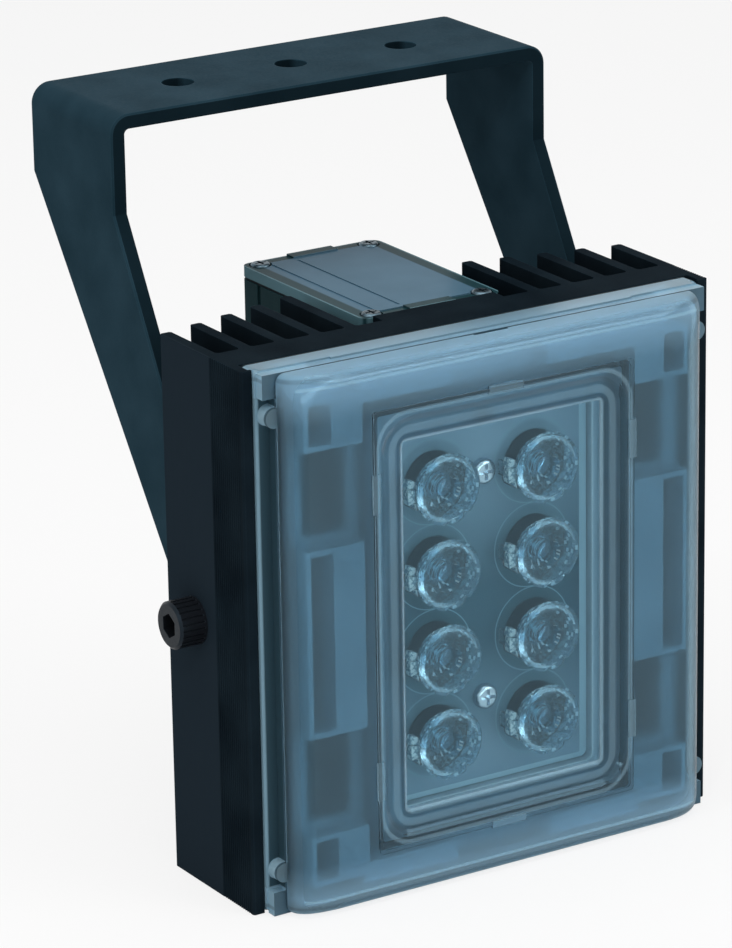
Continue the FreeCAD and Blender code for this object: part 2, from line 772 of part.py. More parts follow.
def end_seal(z0):
    # Flat ring with the width of the housing's wall and a pad round each screw.
    z1 = z0 + end_seal_thickness
    shape = housing_column(end_seal_inset, housing_radius - end_seal_inset, z0, z1)
    shape = shape.cut(housing_column(housing_wall, housing_bore_radius, z0 - 1, z1 + 1))
    pads = [pad.common(housing_column(end_seal_inset, housing_radius - end_seal_inset, z0, z1))
            for pad in cap_screw_holes(screw_post_radius - end_seal_inset, z0, z1)]
    return shape.fuse(pads).cut(cap_screw_holes(cap_screw_size / 2, z0 - 1, z1 + 1)).removeSplitter()


def cap_skirt(z0):
    # Thin skirt under the cap that locates inside the housing, clear of the screw posts and card ribs.
    inset = housing_wall + skirt_clearance
    low = z0 - end_seal_thickness - skirt_depth
    skirt = housing_column(inset, housing_bore_radius, low, z0)
    skirt = skirt.cut(housing_column(inset + skirt_thickness, housing_bore_radius, low - 1, z0 + 1))
    skirt = skirt.cut(cap_screw_holes(screw_post_radius + skirt_clearance, low - 1, z0 + 1))
    rib_reach = card_clearance + card_rib_width + skirt_clearance
    y0 = card_front_y - rib_reach
    y1 = card_front_y + card_thickness + rib_reach
    return skirt.cut(box(-housing_half_width, housing_half_width, y0, y1, low - 1, z0))


def end_cap(top):
    # Drawn as the upper cap, then turned over for the lower one.
    z0 = body_height - end_cap_thickness
    z1 = body_height - end_cap_raise
    plate = housing_column(0, housing_radius, z0, z1)
    band_ends = cap_band_inset + cap_band_length
    front = housing_front_y + cap_band_inset
    rear = housing_rear_y - cap_band_inset
    extras = [cap_skirt(z0)]
    for y in (front, rear - cap_band_length):
        extras.append(box(-cap_band_half_width, cap_band_half_width, y, y + cap_band_length, z0, body_height))
    extras.append(box(-cap_panel_half_width, cap_panel_half_width, housing_front_y + band_ends,
                      housing_rear_y - band_ends, z0, z1 + cap_panel_height))
    line_half = cap_line_width / 2
    line = box(-cap_band_half_width - line_half, -cap_band_half_width + line_half,
               housing_front_y + band_ends + cap_line_end_gap, housing_rear_y - band_ends - cap_line_end_gap,
               z1, body_height)
    hole = (cap_screw_size + cap_screw_clearance) / 2
    cuts = [line] + cap_screw_holes(hole, z0 - 1, body_height)
    cuts += cap_screw_holes(cap_screw_head_radius + cap_screw_clearance, z1 - cap_screw_sink, body_height)
    shape = plate.fuse(extras).cut(cuts).removeSplitter()
    if not top:
        centre = vec(0, (housing_front_y + housing_rear_y) / 2, middle_z)
        shape.rotate(centre, rearward, 180)
    return shape


def cap_screw(x, y, top):
    seat = body_height - end_cap_raise - cap_screw_sink
    direction = upward if top else upward * -1
    base = vec(x, y, seat if top else body_height - seat)
    return pan_screw(base, direction, cap_screw_size, cap_screw_head_radius, cap_screw_head_height,
                     cap_screw_length)


def driver_board():
    # Bare card in the housing's slots with the large parts of a driver on its front face.
    y = card_front_y
    half = housing_half_width - housing_wall - card_side_clearance
    card = box(-half, half, y, y + card_thickness, housing_bottom_z + card_end_gap,
               housing_top_z - card_end_gap)
    parts = []
    for size, place in ((transformer_size, transformer_place), (filter_size, filter_place)):
        x = place[0] - size[0] / 2
        z = middle_z + place[1] - size[2] / 2
        parts.append(box(x, x + size[0], y - size[1], y, z, z + size[2]))
    for radius, length, place in zip(capacitor_radii, capacitor_lengths, capacitor_places):
        start = vec(place[0], y - length, middle_z + place[1])
        parts.append(cylinder(radius, start, rearward, length))
    return card.fuse(parts).removeSplitter()


def gland_hexagon(flats, y, height):
    return hexagon_prism(flats, vec(0, y, gland_height), right, upward, rearward * height)


def gland_cylinder(radius, y, length):
    return cylinder(radius, vec(0, y, gland_height), rearward, length)


def gland_body():
    start = gland_inner_y
    inside = housing_rear_y - start
    shape = gland_cylinder(gland_thread / 2, start, inside)
    shape = shape.fuse(gland_hexagon(gland_flats, housing_rear_y, gland_hex_height))
    neck_y = housing_rear_y + gland_hex_height
    shape = shape.fuse(gland_cylinder(gland_thread / 2 - gland_clearance * 3, neck_y, gland_neck_length))
    length = inside + gland_hex_height + gland_neck_length
    return shape.cut(gland_cylinder(gland_bore_radius, start - 1, length + 2))


def gland_locknut():
    y = housing_rear_y - housing_wall - gland_locknut_height
    shape = gland_hexagon(gland_locknut_flats, y, gland_locknut_height)
    return shape.cut(gland_cylinder(gland_thread / 2, y - 1, gland_locknut_height + 2))


def gland_dome():
    # Hexagon nut with a cone at its end, clear of the ring that grips the cable.
    y = gland_nut_y
    corner = gland_flats / math.sqrt(3)
    shape = gland_hexagon(gland_flats, y, gland_dome_height)
    shape = shape.common(gland_cylinder(corner * 0.97, y, gland_dome_height))
    ring_radius = cable_diameter / 2 + gland_ring_wall
    cone = Part.makeCone(gland_flats / 2 - gland_clearance, ring_radius + 1.6, gland_cone_height,
                         vec(0, y + gland_dome_height, gland_height), rearward)
    shape = shape.fuse(cone)
    neck_end = gland_neck_length - gland_nut_gap + gland_clearance
    shape = shape.cut(gland_cylinder(gland_thread / 2 - gland_clearance * 2, y - 1, neck_end + 1))
    length = gland_dome_height + gland_cone_height
    return shape.cut(gland_cylinder(ring_radius + gland_clearance / 2, y, length + 1))


def gland_ring():
    length = gland_dome_height + gland_cone_height - 1.9
    shape = gland_cylinder(cable_diameter / 2 + gland_ring_wall, gland_nut_y + 1, length)
    return shape.cut(gland_cylinder(cable_diameter / 2, gland_nut_y, length + 2))


def arm_side_view(x):
    # Side view of one arm: upright at the top, slanting forward below the knees, rounded at the pivot.
    radius = arm_end_radius
    low = middle_z - radius
    knee_z = plate_top_z - knee_front_drop
    dy = plate_front_y - pivot_y
    dz = knee_z - middle_z
    angle = math.atan2(dz, dy) + math.acos(radius / math.hypot(dy, dz))
    touch_y = pivot_y + radius * math.cos(angle)
    touch_z = middle_z + radius * math.sin(angle)
    toe_y = touch_y - (plate_front_y - touch_y) * (touch_z - low) / (knee_z - touch_z)
    rear_knee_z = plate_top_z - knee_rear_drop
    tail_y = pivot_y + arm_tail_reach
    tail_y -= (plate_rear_y - tail_y) * (middle_z - low) / (rear_knee_z - middle_z)
    corners = [vec(x, plate_front_y, plate_top_z), vec(x, plate_front_y, knee_z), vec(x, toe_y, low)]
    corners += [vec(x, tail_y, low), vec(x, plate_rear_y, rear_knee_z), vec(x, plate_rear_y, plate_top_z)]
    return Part.Face(rounded_wire(corners, [0, 0, radius, arm_tail_radius, 0, 0]))


def folded_strip():
    # Sheet bent to a U: seen from the front, with its two bends, run along the whole depth.
    half = bracket_half_width
    top = plate_top_z
    inner_half = half - sheet
    inner_radius = bend_radius - sheet
    low = middle_z - arm_end_radius - 1
    y = pivot_y - arm_end_radius - 1
    corners = [vec(-half, y, low), vec(-half, y, top), vec(half, y, top), vec(half, y, low)]
    corners += [vec(inner_half, y, low), vec(inner_half, y, top - sheet)]
    corners += [vec(-inner_half, y, top - sheet), vec(-inner_half, y, low)]
    radii = [0, bend_radius, bend_radius, 0, 0, inner_radius, inner_radius, 0]
    return Part.Face(rounded_wire(corners, radii)).extrude(rearward * (plate_rear_y - y + 1))


def bracket():
    half = bracket_half_width
    side_view = arm_side_view(-half - 1).extrude(right * (2 * half + 2))
    shape = folded_strip().common(side_view)
    plate_y = (plate_front_y + plate_rear_y) / 2
    cuts = []
    for i in (-1, 0, 1):
        start = vec(i * bracket_hole_pitch, plate_y, plate_top_z - sheet - 1)
        cuts.append(cylinder(bracket_hole / 2, start, upward, sheet + 2))
    for side in (-1, 1):
        start = vec(side * (half - sheet - 1), pivot_y, middle_z)
        cuts.append(cylinder(pivot_size / 2, start, right * side, sheet + 2))
    shape = shape.cut(cuts)
    # Small break on the outer edges of the strip.
    long_edges = []
    for edge in shape.Edges:
        span = edge.BoundBox
        on_outer_side = span.XLength < 0.01 and abs(abs(span.XMin) - half) < 0.01
        on_top = span.XLength > 2 * bracket_hole and span.ZMin > plate_top_z - 0.01
        if on_top or (on_outer_side and span.DiagonalLength > 2 * pivot_size):
            long_edges.append(edge)
    return shape.makeChamfer(bracket_edge_break, long_edges).removeSplitter()


def pivot_screw(side):
    # Socket head with straight knurls, threaded into the bracket's arm.
    out = right * side
    seat = vec(side * half_width, pivot_y, middle_z)
    head = cylinder(head_diameter / 2, seat, out, head_height)
    rims = [e for e in head.Edges if e.CenterOfMass.distanceToPoint(seat + out * head_height) < 0.001]
    head = head.makeChamfer(head_chamfer, rims)
    cuts = [hexagon_prism(socket_flats, seat + out * (head_height - socket_depth), rearward, upward,
                          out * (socket_depth + 1))]
    for i in range(knurl_count):
        groove = box(knurl_foot, head_height - head_chamfer, -knurl_width / 2, knurl_width / 2,
                     head_diameter / 2 - knurl_depth, head_diameter)
        if side < 0:
            groove.rotate(vec(0, 0, 0), upward, 180)
        groove.rotate(vec(0, 0, 0), right, 360 * i / knurl_count)
        groove.translate(seat)
        cuts.append(groove)
    length = wall_thickness + washer_thickness + sheet + screw_tip
    return head.cut(cuts).fuse(cylinder(pivot_size / 2, seat, out * -1, length))


def friction_washer(side):
    start = vec(side * bracket_half_width, pivot_y, middle_z)
    out = right * side
    ring = cylinder(washer_radius, start, out, washer_thickness)
    return ring.cut(cylinder(pivot_size / 2 + washer_clearance, start - out, out, washer_thickness + 2))


def write(name, shape):
    if not shape.isValid() or len(shape.Solids) != 1:
        print("check", name, shape.isValid(), len(shape.Solids))
    shape.exportStep("parts/" + name + ".step")


os.makedirs("parts", exist_ok=True)
write("heat_sink", heat_sink())
write("cover_seal", cover_seal())
write("front_cover", front_cover())
write("lamp_board", lamp_board())
write("thermal_sheet", thermal_sheet())
write("tray", tray())
for number, (place_x, place_z) in enumerate(optic_places(), 1):
    write("emitter_%d" % number, emitter(place_x, place_z))
    write("optic_%d" % number, optic(place_x, place_z))
    write("optic_holder_%d" % number, optic_holder(place_x, place_z))
for number, screw_z in enumerate(board_screw_places(), 1):
    write("board_screw_%d" % number, board_screw(screw_z))
write("driver_housing", driver_housing())
write("driver_board", driver_board())
write("top_end_seal", end_seal(housing_top_z))
write("bottom_end_seal", end_seal(end_cap_thickness))
write("top_end_cap", end_cap(True))
write("bottom_end_cap", end_cap(False))
for number, (place_x, place_y) in enumerate(cap_screw_places(), 1):
    write("top_cap_screw_%d" % number, cap_screw(place_x, place_y, True))
    write("bottom_cap_screw_%d" % number, cap_screw(place_x, place_y, False))
write("gland_body", gland_body())
write("gland_locknut", gland_locknut())
write("gland_dome", gland_dome())
write("gland_ring", gland_ring())
write("bracket", bracket())
write("pivot_screw_left", pivot_screw(-1))
write("pivot_screw_right", pivot_screw(1))
write("friction_washer_left", friction_washer(-1))
write("friction_washer_right", friction_washer(1))
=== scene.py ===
import math
import random
import bmesh
import bpy
from mathutils import Matrix, Vector


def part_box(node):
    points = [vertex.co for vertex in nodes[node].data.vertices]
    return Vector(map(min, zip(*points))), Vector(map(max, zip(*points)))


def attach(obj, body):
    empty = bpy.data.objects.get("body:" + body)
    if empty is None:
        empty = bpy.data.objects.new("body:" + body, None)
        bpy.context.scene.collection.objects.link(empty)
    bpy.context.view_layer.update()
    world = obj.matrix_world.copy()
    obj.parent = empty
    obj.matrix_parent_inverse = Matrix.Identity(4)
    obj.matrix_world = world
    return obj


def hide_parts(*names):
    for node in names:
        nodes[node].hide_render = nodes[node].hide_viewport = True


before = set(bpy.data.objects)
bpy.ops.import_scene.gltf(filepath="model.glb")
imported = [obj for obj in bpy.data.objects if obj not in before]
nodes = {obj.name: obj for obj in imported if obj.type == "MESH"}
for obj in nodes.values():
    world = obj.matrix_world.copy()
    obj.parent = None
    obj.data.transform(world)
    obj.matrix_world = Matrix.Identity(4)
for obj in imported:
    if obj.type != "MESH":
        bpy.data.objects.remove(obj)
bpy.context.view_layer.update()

# Heat sink: one aluminium extrusion, sawn to length, etched and anodised black. The die leaves faint
# lines along its height. The side walls have fine ridges in front and are smooth, and a little paler,
# behind them.
even = (1.0, 1.0, 1.0)
die_lines = (1.0, 1.0, 0.04)
metal_tint = (0.45, 0.75, 1.0)
edge_samples = 6


def new_finish(name, roughness, specular=0.5, tint=even):
    # A plain shader with its own name; the caller adds the pattern.
    finish = bpy.data.materials.new(name)
    finish.use_nodes = True
    tree = finish.node_tree
    shader = tree.nodes["Principled BSDF"]
    shader.inputs["Roughness"].default_value = roughness
    shader.inputs["Specular IOR Level"].default_value = specular
    shader.inputs["Specular Tint"].default_value = (*tint, 1.0)
    return finish, tree, shader


def place_on_piece(tree):
    return tree.nodes.new("ShaderNodeTexCoord").outputs["Object"]


def along(tree, axis):
    parts = tree.nodes.new("ShaderNodeSeparateXYZ")
    tree.links.new(place_on_piece(tree), parts.inputs["Vector"])
    return parts.outputs[axis]


def speckle(tree, scale, stretch=even, detail=4.0):
    # Cloudy noise that keeps its place on the piece; a larger scale makes it finer.
    size = tree.nodes.new("ShaderNodeMapping")
    size.inputs["Scale"].default_value = stretch
    noise = tree.nodes.new("ShaderNodeTexNoise")
    noise.inputs["Scale"].default_value = scale
    noise.inputs["Detail"].default_value = detail
    tree.links.new(place_on_piece(tree), size.inputs["Vector"])
    tree.links.new(size.outputs["Vector"], noise.inputs["Vector"])
    return noise.outputs["Fac"]


def ranged(tree, value, low, high, start=0.3, end=0.7):
    # Low up to the start, high past the end, and a straight change between them.
    reach = tree.nodes.new("ShaderNodeMapRange")
    reach.inputs["From Min"].default_value = start
    reach.inputs["From Max"].default_value = end
    reach.inputs["To Min"].default_value = low
    reach.inputs["To Max"].default_value = high
    tree.links.new(value, reach.inputs["Value"])
    return reach.outputs["Result"]


def step_from(tree, value, *steps):
    # One number, changed by each step in turn.
    for operation, operand in steps:
        node = tree.nodes.new("ShaderNodeMath")
        node.operation = operation
        tree.links.new(value, node.inputs[0])
        if operand is not None:
            node.inputs[1].default_value = operand
        value = node.outputs["Value"]
    return value


def joined(tree, operation, first, *others):
    # One number from several, such as their product or the largest of them.
    for other in others:
        node = tree.nodes.new("ShaderNodeMath")
        node.operation = operation
        tree.links.new(first, node.inputs[0])
        tree.links.new(other, node.inputs[1])
        first = node.outputs["Value"]
    return first


def two_tone(tree, factor, first, second):
    # The first colour where the factor is 0, the second where it is 1.
    mix = tree.nodes.new("ShaderNodeMix")
    mix.data_type = "RGBA"
    tree.links.new(factor, mix.inputs["Factor"])
    for socket, colour in ((mix.inputs[6], first), (mix.inputs[7], second)):
        if isinstance(colour, tuple):
            socket.default_value = (*colour, 1.0)
        else:
            tree.links.new(colour, socket)
    return mix.outputs[2]


def laid_over(tree, colour, area, shade):
    # Another colour on an area, over what the colour's socket has so far.
    tree.links.new(two_tone(tree, area, colour.links[0].from_socket, shade), colour)


def softened(tree, radius):
    # The way the surface faces, with its edges rounded by a radius.
    soft = tree.nodes.new("ShaderNodeBevel")
    soft.samples = edge_samples
    soft.inputs["Radius"].default_value = radius
    return soft.outputs["Normal"]


def relief(tree, shader, height, depth, edge=0.0):
    # Small bumps from the pattern, on edges that are softened by the given radius.
    bump = tree.nodes.new("ShaderNodeBump")
    bump.inputs["Strength"].default_value = 1.0
    bump.inputs["Distance"].default_value = depth
    tree.links.new(height, bump.inputs["Height"])
    if edge > 0:
        tree.links.new(softened(tree, edge), bump.inputs["Normal"])
    tree.links.new(bump.outputs["Normal"], shader.inputs["Normal"])


def highlight_edge_mask(tree, radius):
    # 1 along the sharp edges, 0 on the flats; it places painted highlights on the edges.
    flat = tree.nodes.new("ShaderNodeNewGeometry")
    level = tree.nodes.new("ShaderNodeVectorMath")
    level.operation = "DOT_PRODUCT"
    tree.links.new(softened(tree, radius), level.inputs[0])
    tree.links.new(flat.outputs["Normal"], level.inputs[1])
    return ranged(tree, level.outputs["Value"], 1.0, 0.0, 0.80, 0.99)


def metal_grain(name, dark, light, roughness, specular, depth, edge, stretch=even):
    # Clouded colour, grain in gloss and relief, and a painted highlight that makes the edges paler. The
    # colour's socket is handed on as well, for a piece that has more on top.
    edge_highlight_gain = 2.2
    gloss_spread = 0.06
    finish, tree, shader = new_finish(name, roughness, specular, metal_tint)
    cloud = speckle(tree, 60.0)
    lines = speckle(tree, 1500.0, stretch, 3.0)
    clouded = two_tone(tree, ranged(tree, cloud, 0.0, 1.0), dark, light)
    edge_highlight = joined(tree, "MULTIPLY", highlight_edge_mask(tree, edge), ranged(tree, cloud, 0.3, 0.9))
    highlight_colour = tuple(edge_highlight_gain * part for part in light)
    colour = shader.inputs["Base Color"]
    tree.links.new(two_tone(tree, edge_highlight, clouded, highlight_colour), colour)
    rough = ranged(tree, lines, roughness - gloss_spread, roughness + gloss_spread)
    tree.links.new(rough, shader.inputs["Roughness"])
    relief(tree, shader, lines, depth, edge)
    return finish, tree, colour


def dress(finish, slot, *names):
    for name in names:
        piece = nodes[name]
        piece.data.materials.clear()
        piece.data.materials.append(finish)


ridges_end = (0.0156, 0.0160)
wall_face = (0.0724, 0.0728)
wall_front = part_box("heat_sink")[0][1]
anodised, tree, colour = metal_grain("black anodised aluminium", (0.0045, 0.0085, 0.0125),
                                     (0.0085, 0.0155, 0.0215), roughness=0.55, specular=0.003,
                                     depth=0.00002, edge=0.0004, stretch=die_lines)
behind = ranged(tree, along(tree, "Y"), 0.0, 1.0, *[wall_front + back for back in ridges_end])
outside = ranged(tree, step_from(tree, along(tree, "X"), ("ABSOLUTE", None)), 0.0, 1.0, *wall_face)
laid_over(tree, colour, joined(tree, "MULTIPLY", behind, outside), (0.014, 0.023, 0.032))
dress(anodised, "anodised_black", "heat_sink")

# Thermal sheet: soft grey pad, cut to shape, that carries the heat from the lamp board to the seat of
# the heat sink. The screws of the board press it flat.


def flecked(name, dark, light, fleck, roughness, bumps, depth, specular=0.5, tint=even, edge=0.0):
    # A moulded or plated skin: flecks of two colours, and small bumps.
    finish, tree, shader = new_finish(name, roughness, specular, tint)
    tree.links.new(two_tone(tree, speckle(tree, fleck), dark, light), shader.inputs["Base Color"])
    relief(tree, shader, speckle(tree, bumps), depth, edge)
    return finish, shader


soft_pad = flecked("soft thermal pad", (0.22, 0.25, 0.28), (0.32, 0.35, 0.38), fleck=900.0,
                   roughness=0.7, bumps=900.0, depth=0.00005)[0]
dress(soft_pad, "thermal", "thermal_sheet")

# Lamp board: aluminium-backed board under a smooth blue-grey solder resist that stops short of its
# edges. Two screws hold it to the seat. A thin ring round each optic marks its reach.
gloss_tint = (0.45, 0.78, 1.0)
middle_z = 0.075
dark_middle_z = 0.07
dark_to_pale = (0.008, 0.045)
optic_x = 0.0157
optics_middle = 0.074
row_pitch = 0.0238
half_rows = 2 * row_pitch
optic_reach = 0.0118
resist_half = 0.0311
resist_half_high = 0.0521


def away_from(tree, value, place):
    return step_from(tree, value, ("SUBTRACT", place), ("ABSOLUTE", None))


def line_at(tree, value, place, strength, full, gone):
    # A line where the value is near a place: at its strength up to one distance, gone past the other.
    return ranged(tree, away_from(tree, value, place), strength, 0.0, full, gone)


def distance(tree, across, up):
    squares = [step_from(tree, value, ("ABSOLUTE", None), ("POWER", 2.0)) for value in (across, up)]
    return step_from(tree, joined(tree, "ADD", *squares), ("POWER", 0.5))


def outside_frame(tree, half, half_high, radius, soft):
    # 0 inside a rounded rectangle on the face, 1 outside it, by distance from its corners.
    value = place_on_piece(tree)
    steps = (("SUBTRACT", (0.0, 0.0, middle_z)), ("MULTIPLY", (1.0, 0.0, 1.0)), ("ABSOLUTE", None),
             ("SUBTRACT", (half - radius, 0.0, half_high - radius)), ("MAXIMUM", (0.0, 0.0, 0.0)))
    for operation, operand in steps:
        node = tree.nodes.new("ShaderNodeVectorMath")
        node.operation = operation
        tree.links.new(value, node.inputs[0])
        if operand is not None:
            node.inputs[1].default_value = operand
        value = node.outputs["Vector"]
    length = tree.nodes.new("ShaderNodeVectorMath")
    length.operation = "LENGTH"
    tree.links.new(value, length.inputs[0])
    return ranged(tree, length.outputs["Value"], 0.0, 1.0, radius - soft, radius + soft)


board_finish, tree, shader = new_finish("blue-grey solder resist", 0.16, 0.1, gloss_tint)
from_middle = away_from(tree, along(tree, "Z"), dark_middle_z)
resist = two_tone(tree, ranged(tree, from_middle, 0.0, 1.0, *dark_to_pale), (0.038, 0.094, 0.128),
                  (0.24, 0.35, 0.44))
resist = two_tone(tree, ranged(tree, speckle(tree, 80.0), 0.0, 0.15), resist, (0.06, 0.13, 0.17))
across = step_from(tree, along(tree, "X"), ("ABSOLUTE", None), ("SUBTRACT", optic_x))
above = step_from(tree, along(tree, "Z"), ("SUBTRACT", optics_middle - half_rows))
inside_rows = step_from(tree, away_from(tree, above, half_rows), ("LESS_THAN", half_rows))
in_row = step_from(tree, above, ("MODULO", row_pitch), ("SUBTRACT", row_pitch / 2))
from_optic = distance(tree, across, in_row)
# Painted shade: the resist is darker and greener under and just round each optic.
shade_round_optic = joined(tree, "MULTIPLY", inside_rows, ranged(tree, from_optic, 0.3, 0.0, 0.0105, optic_reach))
resist = two_tone(tree, shade_round_optic, resist, (0.036, 0.100, 0.108))
ring = joined(tree, "MULTIPLY", inside_rows, line_at(tree, from_optic, optic_reach, 0.9, 0.00008, 0.0002))
resist = two_tone(tree, ring, resist, (0.20, 0.34, 0.40))
margin = outside_frame(tree, resist_half, resist_half_high, 0.0005, 0.0001)
tree.links.new(two_tone(tree, margin, resist, (0.42, 0.58, 0.66)), shader.inputs["Base Color"])
tree.links.new(ranged(tree, speckle(tree, 300.0), 0.10, 0.22), shader.inputs["Roughness"])
relief(tree, shader, speckle(tree, 700.0), 0.000002)
dress(board_finish, "board", "lamp_board")

# Emitters: pale ceramic bases with a phosphor-filled dome of silicone, soldered to the lamp board, one
# behind each optic.
numbers = range(1, 9)
phosphor = flecked("phosphor under clear silicone", (0.28, 0.40, 0.42), (0.40, 0.55, 0.58),
                   fleck=1500.0, roughness=0.25, bumps=2500.0, depth=0.00001)[0]
dress(phosphor, "emitter", *["emitter_%d" % n for n in numbers])

# Optics: clear acrylic collectors, polished, one over each emitter. The face carries fine rings and a
# sunk lens, the flank is cut in small flats that throw the light forward, the rim has three notches.
# Each outline is in millimetres: the radius, and the depth behind the front of the rim.
per_metre = 1000
segments = 144
flats = 48
profile = [(0.0, 1.7), (1.1, 1.85), (2.1, 2.2), (3.0, 2.4), (3.25, 1.2), (3.6, 0.0), (4.6, 0.0),
           (4.7, 0.14), (5.7, 0.0), (5.8, 0.14), (6.8, 0.0), (6.9, 0.14), (7.9, 0.0), (8.0, 0.14),
           (9.55, 0.0)]
rim_ring = [(9.74, 0.15), (9.74, 0.9)]
flank = [(9.1, 1.225), (8.95, 2.0), (8.72, 2.75), (8.4, 3.5), (8.0, 4.2), (7.5, 4.85), (6.9, 5.5),
         (6.1, 6.15), (5.2, 6.8), (4.2, 7.38)]
bore = [(3.0, 7.38), (2.85, 6.0), (2.7, 4.75), (1.9, 4.5), (1.0, 4.3), (0.0, 4.22)]
rings = profile + rim_ring + flank + bore
flank_start = len(profile) + len(rim_ring)
flank_end = flank_start + len(flank)
optic_front_y = -24.9
rim_radius = 0.00975
notch_angles = (235, 270, 305)
notch_half_angle = 8.0
notch_depth = 0.9


def optic_point(index, step):
    radius, depth = rings[index]
    angle = 2 * math.pi * step / segments
    if flank_start <= index < flank_end:
        part = 2 * math.pi / flats
        radius *= math.cos(part / 2) / math.cos(angle % part - part / 2)
    elif len(profile) - 1 <= index < flank_start:
        for notch in notch_angles:
            away = abs(math.degrees(angle) - notch) / notch_half_angle
            if away < 1:
                radius -= notch_depth * math.cos(away * math.pi / 2) ** 2
    return (radius * math.cos(angle) / per_metre, depth / per_metre, radius * math.sin(angle) / per_metre)


points = [optic_point(0, 0)]
for index in range(1, len(rings) - 1):
    points += [optic_point(index, step) for step in range(segments)]
points.append(optic_point(len(rings) - 1, 0))
faces = []
smooth = []
for step in range(segments):
    after = (step + 1) % segments
    faces.append((0, 1 + step, 1 + after))
    smooth.append(True)
    for index in range(1, len(rings) - 2):
        near = 1 + (index - 1) * segments
        far = near + segments
        faces.append((near + step, far + step, far + after, near + after))
        smooth.append(not flank_start - 1 <= index < flank_end)
    last = 1 + (len(rings) - 3) * segments
    faces.append((last + step, len(points) - 1, last + after))
    smooth.append(True)
optic_mesh = bpy.data.meshes.new("optic")
optic_mesh.from_pydata(points, [], faces)
optic_mesh.polygons.foreach_set("use_smooth", smooth)
sharp_from = math.radians(30)
shape = bmesh.new()
shape.from_mesh(optic_mesh)
bmesh.ops.recalc_face_normals(shape, faces=shape.faces)
for edge in shape.edges:
    edge.smooth = len(edge.link_faces) == 2 and edge.calc_face_angle(0.0) < sharp_from
shape.to_mesh(optic_mesh)
shape.free()

# The body is clear. The flats near the rim carry painted reflections and shade, and a few facets have
# painted glints.
clear_ior = 1.2
flats_clear_from = (0.0034, 0.0040)
acrylic, shader = flecked("clear acrylic", (0.55, 0.82, 1.0), (0.63, 0.86, 1.0), fleck=200.0,
                          roughness=0.0, bumps=420.0, depth=0.00008)
shader.inputs["Transmission Weight"].default_value = 0.93
shader.inputs["IOR"].default_value = clear_ior
painted_glint, shader = flecked("painted glints on the acrylic facets", (0.80, 0.93, 1.0), (1.0, 1.0, 1.0),
                        fleck=1500.0, roughness=0.03, bumps=500.0, depth=0.00015)
shader.inputs["Transmission Weight"].default_value = 0.35
shader.inputs["IOR"].default_value = 1.5
cut, tree, shader = new_finish("small flats of the acrylic", 0.02)
shader.inputs["IOR"].default_value = clear_ior
# Painted reflections and painted shade: the flats near the rim are mottled white and dark, and let less
# light through where dark, except deep in the flank.
painted_mottle = ranged(tree, speckle(tree, 950.0, detail=2.0), 0.0, 1.0, 0.47, 0.56)
deep = ranged(tree, along(tree, "Y"), 0.0, 1.0, *flats_clear_from)
passing = ranged(tree, joined(tree, "MAXIMUM", painted_mottle, deep), 0.45, 0.95, 0.0, 1.0)
tree.links.new(passing, shader.inputs["Transmission Weight"])
tree.links.new(two_tone(tree, painted_mottle, (0.16, 0.27, 0.34), (0.80, 0.95, 1.0)), shader.inputs["Base Color"])
relief(tree, shader, speckle(tree, 500.0), 0.00015)
for finish in (acrylic, painted_glint, cut):
    optic_mesh.materials.append(finish)
glint_index = 1
cut_index = 2
cut_depth = 0.1
cut_depth_at_face = 0.95
bore_edge = 4.0
face_edge = 9.6
glint_depth = 0.2
glint_edges = (3.4, 9.73)
glint_share = 0.055
glint_share_by_tab = 0.3
tab_angles = (60, 235)
tab_inner = 8.3
cells_in_depth = 1.6
draw = random.Random(5)
chance = {}
for face in optic_mesh.polygons:
    middle = face.center
    depth = middle.y * per_metre
    radius = math.hypot(middle.x, middle.z) * per_metre
    angle = math.degrees(math.atan2(middle.z, middle.x)) % 360
    if depth > cut_depth and radius > bore_edge and (depth > cut_depth_at_face or radius > face_edge):
        face.material_index = cut_index
    # Painted glints: a few facets, more of them beside the tab, take the finish of white glints.
    if depth > glint_depth and glint_edges[0] < radius < glint_edges[1]:
        cell = (int(angle / (360 / flats)), int(depth * cells_in_depth))
        if cell not in chance:
            chance[cell] = draw.random()
        by_tab = tab_angles[0] < angle < tab_angles[1] and radius > tab_inner
        if chance[cell] < (glint_share_by_tab if by_tab else glint_share):
            face.material_index = glint_index
for n in numbers:
    low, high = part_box("optic_%d" % n)
    optic = bpy.data.objects.new("optic_lens_%d" % n, optic_mesh)
    optic.location = ((low[0] + high[0]) / 2, optic_front_y / per_metre, high[2] - rim_radius)
    bpy.context.scene.collection.objects.link(optic)
    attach(optic, "lamp")
    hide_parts("optic_%d" % n)

# Optic holders: clear mouldings, a foot ring on the board, two legs up to the rim of the optic and a
# stippled tab beside it that catches the light. Sizes are in millimetres and degrees.
foot_front = optic_front_y + 7.4
leg_width = 11


def holder_ring(shape, inner, outer, front, rear, start, end, steps):
    # A piece of a ring between two angles, closed at its ends unless it goes all the way round.
    whole = end - start >= 360
    count = steps if whole else steps + 1
    rows = []
    for step in range(count):
        angle = math.radians(start + (end - start) * step / steps)
        corners = ((inner, front), (outer, front), (outer, rear), (inner, rear))
        rows.append([shape.verts.new((radius * math.cos(angle) / per_metre, y / per_metre,
                                      radius * math.sin(angle) / per_metre)) for radius, y in corners])
    for step in range(steps):
        near = rows[step]
        far = rows[(step + 1) % count]
        for side in range(4):
            after = (side + 1) % 4
            shape.faces.new((near[side], far[side], far[after], near[after]))
    if not whole:
        shape.faces.new(rows[0])
        shape.faces.new(rows[-1][::-1])


